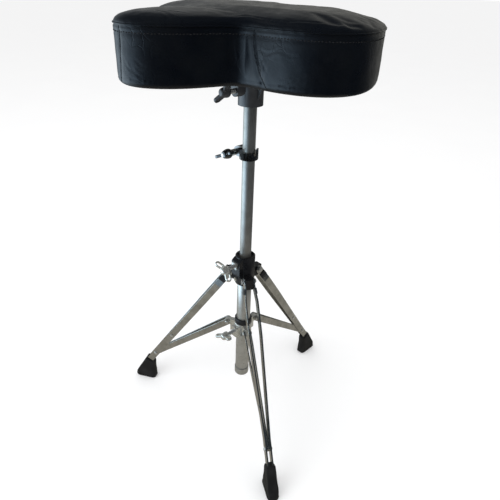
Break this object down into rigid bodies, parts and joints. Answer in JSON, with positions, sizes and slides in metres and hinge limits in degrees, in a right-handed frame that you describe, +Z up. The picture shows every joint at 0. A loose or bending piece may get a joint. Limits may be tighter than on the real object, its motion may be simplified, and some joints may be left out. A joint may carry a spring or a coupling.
{
  "type": "drum throne",
  "caption": "Drummer's stool with a padded saddle seat on a clamped sliding post over a folding tripod of paired steel strips with rubber feet.",
  "frame": {"origin": "on the floor, below the middle of the whole object's bounding box; the post's axis is 19.0 mm from it, towards -Y", "axes": "+Z up along the post, seat's nose and the clamp knobs towards -Y, one leg straight back towards +Y"},
  "size_m": [0.4634, 0.492, 0.816],
  "materials": {
    "vinyl": "glossy",
    "foam": "matte",
    "plywood": "matte",
    "dust_fabric": "matte",
    "zinc_steel": "satin",
    "dark_casting": "satin",
    "brass": "satin",
    "chrome": "polished",
    "dark_chrome": "polished",
    "black_paint": "satin",
    "black_nylon": "matte",
    "white_nylon": "matte",
    "strip_steel": "satin",
    "rubber": "matte"
  },
  "bodies": {
    "base": {"top_casting": "black_paint", "post_bushing": "black_nylon", "base_tube": "chrome", "tube_end_cap": "chrome", "tube_screw": "zinc_steel", "height_nut": "chrome", "height_shoe": "brass", "leg_pivot_bolts": "zinc_steel", "leg_pivot_nuts": "zinc_steel"},
    "height_knob": {"height_wing_bolt": "chrome"},
    "post": {"seat_post": "chrome", "post_plug": "black_nylon", "post_guide": "white_nylon"},
    "memory_lock": {"memory_collar": "dark_chrome", "memory_bolt": "zinc_steel", "memory_spacer": "chrome"},
    "memory_knob": {"memory_wing_nut": "dark_chrome"},
    "seat": {"seat_top_cover": "vinyl", "seat_side_band": "vinyl", "seat_foam": "foam", "seat_board": "plywood", "seat_dust_cover": "dust_fabric", "seat_staples": "zinc_steel", "seat_t_nuts": "zinc_steel", "seat_bracket": "dark_casting", "seat_bracket_screws": "zinc_steel", "bracket_shoe": "brass"},
    "bracket_knob": {"bracket_wing_bolt": "dark_casting"},
    "spider": {"spider_collar": "chrome", "spider_bushing": "black_nylon", "spider_rivets": "zinc_steel"},
    "spider_knob": {"spider_wing_bolt": "chrome"},
    "leg_1": {"leg_1_strip_left": "strip_steel", "leg_1_strip_right": "strip_steel", "leg_1_pads": "black_nylon", "leg_1_rivets": "zinc_steel", "leg_1_joint_rivet": "zinc_steel", "foot_1": "rubber"},
    "brace_1": {"brace_1_strip_left": "strip_steel", "brace_1_strip_right": "strip_steel"},
    "leg_2": {"leg_2_strip_left": "strip_steel", "leg_2_strip_right": "strip_steel", "leg_2_pads": "black_nylon", "leg_2_rivets": "zinc_steel", "leg_2_joint_rivet": "zinc_steel", "foot_2": "rubber"},
    "brace_2": {"brace_2_strip_left": "strip_steel", "brace_2_strip_right": "strip_steel"},
    "leg_3": {"leg_3_strip_left": "strip_steel", "leg_3_strip_right": "strip_steel", "leg_3_pads": "black_nylon", "leg_3_rivets": "zinc_steel", "leg_3_joint_rivet": "zinc_steel", "foot_3": "rubber"},
    "brace_3": {"brace_3_strip_left": "strip_steel", "brace_3_strip_right": "strip_steel"}
  },
  "joints": [
    {"name": "post_height", "type": "slide", "parent": "base", "child": "post", "axis": [0, 0, 1], "range_m": [-0.188, 0]},
    {"name": "seat_swivel", "type": "hinge", "parent": "post", "child": "seat", "pos_m": [0, -0.019, 0.7], "axis": [0, 0, 1], "continuous": true},
    {"name": "memory_lock_slide", "type": "slide", "parent": "post", "child": "memory_lock", "axis": [0, 0, 1], "range_m": [0, 0.06]},
    {"name": "memory_knob_turn", "type": "hinge", "parent": "memory_lock", "child": "memory_knob", "pos_m": [-0.0216, -0.049, 0.593], "axis": [0, -1, 0], "range_deg": [0, 720]},
    {"name": "height_knob_turn", "type": "hinge", "parent": "base", "child": "height_knob", "pos_m": [0, -0.069, 0.376], "axis": [0, -1, 0], "range_deg": [0, 720]},
    {"name": "bracket_knob_turn", "type": "hinge", "parent": "seat", "child": "bracket_knob", "pos_m": [-0.00375, -0.06886, 0.7], "axis": [-0.075, -0.9972, 0], "range_deg": [0, 720]},
    {"name": "spider_knob_turn", "type": "hinge", "parent": "spider", "child": "spider_knob", "pos_m": [0, -0.069, 0.214], "axis": [0, -1, 0], "range_deg": [0, 720]},
    {"name": "leg_1_fold", "type": "hinge", "parent": "base", "child": "leg_1", "pos_m": [0, 0.012, 0.348], "axis": [-1, 0, 0], "range_deg": [0, 28]},
    {"name": "leg_2_fold", "type": "hinge", "parent": "base", "child": "leg_2", "pos_m": [-0.02685, -0.0345, 0.348], "axis": [0.5, -0.866, 0], "range_deg": [0, 28]},
    {"name": "leg_3_fold", "type": "hinge", "parent": "base", "child": "leg_3", "pos_m": [0.02685, -0.0345, 0.348], "axis": [0.5, 0.866, 0], "range_deg": [0, 28]},
    {"name": "spider_slide", "type": "slide", "parent": "base", "child": "spider", "axis": [0, 0, 1], "range_m": [0, 0.0235]},
    {"name": "brace_1_fold", "type": "hinge", "parent": "spider", "child": "brace_1", "pos_m": [0, 0.015, 0.22], "axis": [-1, 0, 0], "range_deg": [0, 44.3]},
    {"name": "brace_2_fold", "type": "hinge", "parent": "spider", "child": "brace_2", "pos_m": [-0.02944, -0.036, 0.22], "axis": [0.5, -0.866, 0], "range_deg": [0, 44.3]},
    {"name": "brace_3_fold", "type": "hinge", "parent": "spider", "child": "brace_3", "pos_m": [0.02944, -0.036, 0.22], "axis": [0.5, 0.866, 0], "range_deg": [0, 44.3]}
  ],
  "couplings": [
    {"joint": "leg_2_fold", "follows": "leg_1_fold", "ratio": 1},
    {"joint": "leg_3_fold", "follows": "leg_1_fold", "ratio": 1},
    {"joint": "spider_slide", "follows": "leg_1_fold", "m_per_rad": 0.0472},
    {"joint": "brace_1_fold", "follows": "leg_1_fold", "ratio": 1.573},
    {"joint": "brace_2_fold", "follows": "leg_1_fold", "ratio": 1.573},
    {"joint": "brace_3_fold", "follows": "leg_1_fold", "ratio": 1.573}
  ]
}
